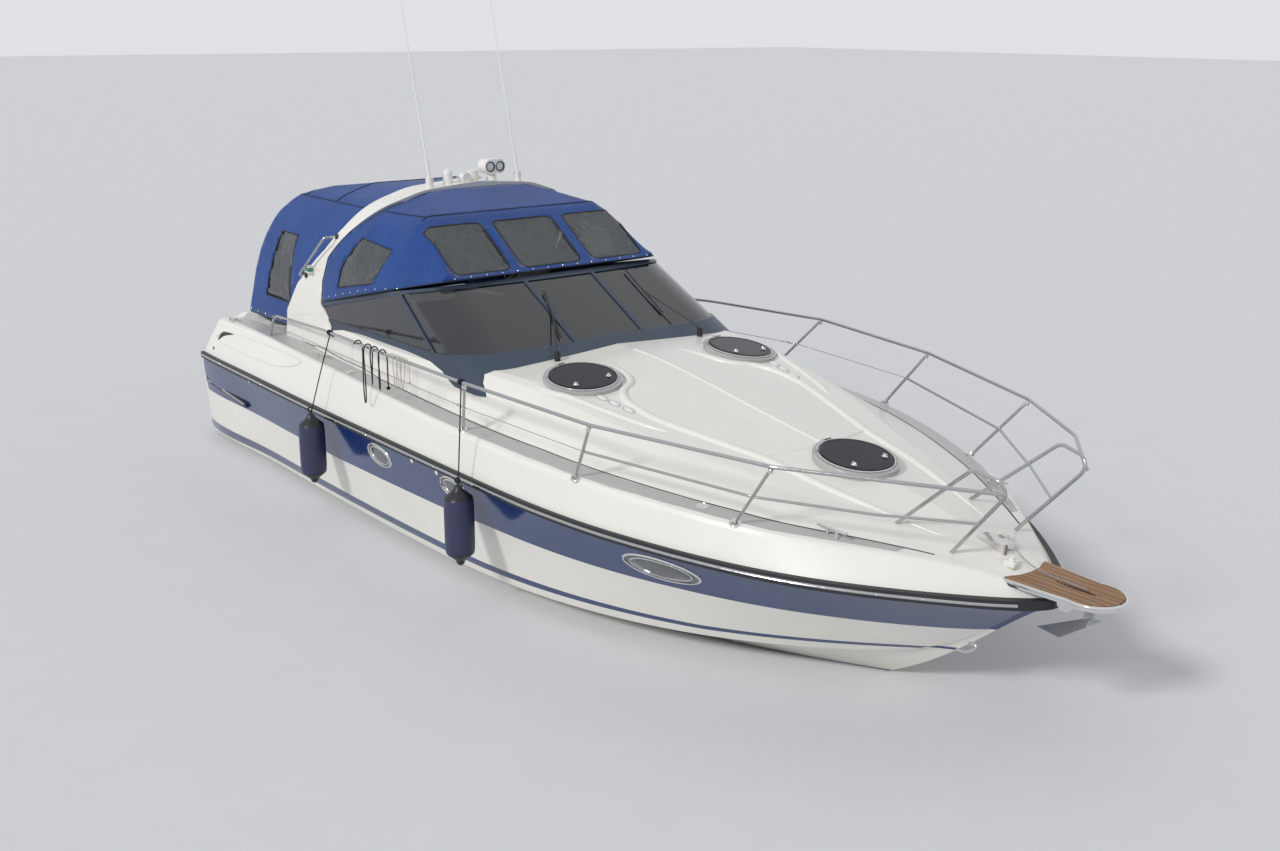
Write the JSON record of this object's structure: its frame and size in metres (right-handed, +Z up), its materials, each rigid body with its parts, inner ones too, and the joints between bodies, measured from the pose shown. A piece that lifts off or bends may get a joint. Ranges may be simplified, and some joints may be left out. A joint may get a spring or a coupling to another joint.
{
  "type": "sports motor cruiser",
  "caption": "Sports motor cruiser afloat, with a blue canopy over its cockpit, a raked arch, a wrapped windscreen, bow rails, a teak bow plank and stern drives",
  "frame": {"origin": "on the centreline at the waterline, amidships of the rub rail", "axes": "+X forward to the bow, +Y to port, +Z up"},
  "size_m": [10.315, 3.7306, 5.6349],
  "materials": {
    "gelcoat": "gloss",
    "black_rubber": "satin",
    "teak": "weathered matt",
    "smoked_acrylic": "gloss",
    "engine_paint": "painted",
    "engine_bed": "satin",
    "drive_paint": "painted",
    "propeller_metal": "polished",
    "stainless": "polished",
    "screen_metal": "anodised",
    "tinted_glass": "gloss",
    "canopy_cloth": "woven",
    "clear_vinyl": "slightly hazed",
    "hatch_acrylic": "gloss",
    "galvanised": "dull",
    "wheel_leather": "satin",
    "upholstery": "satin",
    "white_plastic": "gloss",
    "black_plastic": "matt",
    "fender_vinyl": "satin"
  },
  "bodies": {
    "boat": {"hull": "gelcoat", "deck": "gelcoat", "cockpit_liner": "gelcoat", "arch": "gelcoat", "helm_console": "gelcoat", "cockpit_seats": "gelcoat", "rub_rail": "black_rubber", "quarter_bumpers": "black_rubber", "platform_teak": "teak", "bow_platform_teak": "teak", "engines": "engine_paint", "engine_beds": "engine_bed", "transom_shields": "drive_paint", "trim_tabs": "stainless", "canopy_hoops": "stainless", "rail_port": "stainless", "rail_starboard": "stainless", "bow_platform": "stainless", "cleats": "stainless", "windlass": "stainless", "arch_handles": "stainless", "ladder_brackets": "stainless", "hatch_frames": "stainless", "door_track": "stainless", "hinges": "stainless", "windscreen_frame": "screen_metal", "windscreen_glass": "tinted_glass", "canopy_front": "canopy_cloth", "canopy_aft": "canopy_cloth", "canopy_windows": "clear_vinyl", "anchor": "galvanised", "cockpit_cushions": "upholstery", "aerials": "white_plastic", "arch_instruments": "white_plastic", "searchlight_base": "white_plastic", "side_lights": "white_plastic", "wipers": "black_plastic", "fenders": "fender_vinyl"},
    "engine_hatch_body": {"engine_hatch": "gelcoat"},
    "companion_door_body": {"companion_door": "smoked_acrylic"},
    "transom_gate_body": {"transom_gate": "gelcoat"},
    "drive_port_body": {"drive_port": "drive_paint"},
    "drive_starboard_body": {"drive_starboard": "drive_paint"},
    "propeller_port_body": {"propeller_port": "propeller_metal"},
    "propeller_starboard_body": {"propeller_starboard": "propeller_metal"},
    "hatch_lid_port_body": {"hatch_lid_port": "hatch_acrylic"},
    "hatch_lid_starboard_body": {"hatch_lid_starboard": "hatch_acrylic"},
    "hatch_lid_fore_body": {"hatch_lid_fore": "hatch_acrylic"},
    "helm_wheel_body": {"helm_wheel": "wheel_leather"},
    "searchlight_body": {"searchlight": "white_plastic"},
    "ladder_body": {"ladder": "stainless"}
  },
  "joints": [
    {"name": "engine_hatch_hinge", "type": "hinge", "parent": "boat", "child": "engine_hatch_body", "pos_m": [-2.163, 0, 0.6956], "axis": [0, 1, 0], "range_deg": [0, 80]},
    {"name": "companion_door_slide", "type": "slide", "parent": "boat", "child": "companion_door_body", "axis": [0, 1, 0], "range_m": [0, 0.54]},
    {"name": "transom_gate_hinge", "type": "hinge", "parent": "boat", "child": "transom_gate_body", "pos_m": [-3.858, 1.073, 1], "axis": [0, 0, -1], "range_deg": [0, 95]},
    {"name": "drive_port_steer", "type": "hinge", "parent": "boat", "child": "drive_port_body", "pos_m": [-4.47, 0.48, 0], "axis": [0, 0, 1], "range_deg": [-30, 30]},
    {"name": "drive_starboard_steer", "type": "hinge", "parent": "boat", "child": "drive_starboard_body", "pos_m": [-4.47, -0.48, 0], "axis": [0, 0, 1], "range_deg": [-30, 30]},
    {"name": "helm_turn", "type": "hinge", "parent": "boat", "child": "helm_wheel_body", "pos_m": [-0.565, -0.7, 1.544], "axis": [-0.676, 0, 0.7369], "range_deg": [-540, 540]},
    {"name": "propeller_port_spin", "type": "hinge", "parent": "drive_port_body", "child": "propeller_port_body", "pos_m": [-4.845, 0.48, -0.62], "axis": [1, 0, 0], "continuous": true},
    {"name": "propeller_starboard_spin", "type": "hinge", "parent": "drive_starboard_body", "child": "propeller_starboard_body", "pos_m": [-4.845, -0.48, -0.62], "axis": [1, 0, 0], "continuous": true},
    {"name": "hatch_port_hinge", "type": "hinge", "parent": "boat", "child": "hatch_lid_port_body", "pos_m": [0.80304, 0.80184, 1.76445], "axis": [0.0092, -0.9976, 0.0691], "range_deg": [0, 75]},
    {"name": "hatch_starboard_hinge", "type": "hinge", "parent": "boat", "child": "hatch_lid_starboard_body", "pos_m": [0.80304, -0.80184, 1.76445], "axis": [-0.0092, -0.9976, -0.0691], "range_deg": [0, 75]},
    {"name": "hatch_fore_hinge", "type": "hinge", "parent": "boat", "child": "hatch_lid_fore_body", "pos_m": [2.85768, 0, 1.50734], "axis": [0, -1, 0], "range_deg": [0, 75]},
    {"name": "searchlight_pan", "type": "hinge", "parent": "boat", "child": "searchlight_body", "pos_m": [-1.69, 0.215, 2.92], "axis": [0, 0, 1], "range_deg": [-170, 170]},
    {"name": "ladder_hinge", "type": "hinge", "parent": "boat", "child": "ladder_body", "pos_m": [-4.722, -0.7, 0.602], "axis": [0, -1, 0], "range_deg": [0, 248]}
  ],
  "couplings": [
    {"joint": "helm_turn", "follows": "drive_port_steer", "ratio": -18},
    {"joint": "drive_starboard_steer", "follows": "drive_port_steer", "ratio": 1}
  ]
}
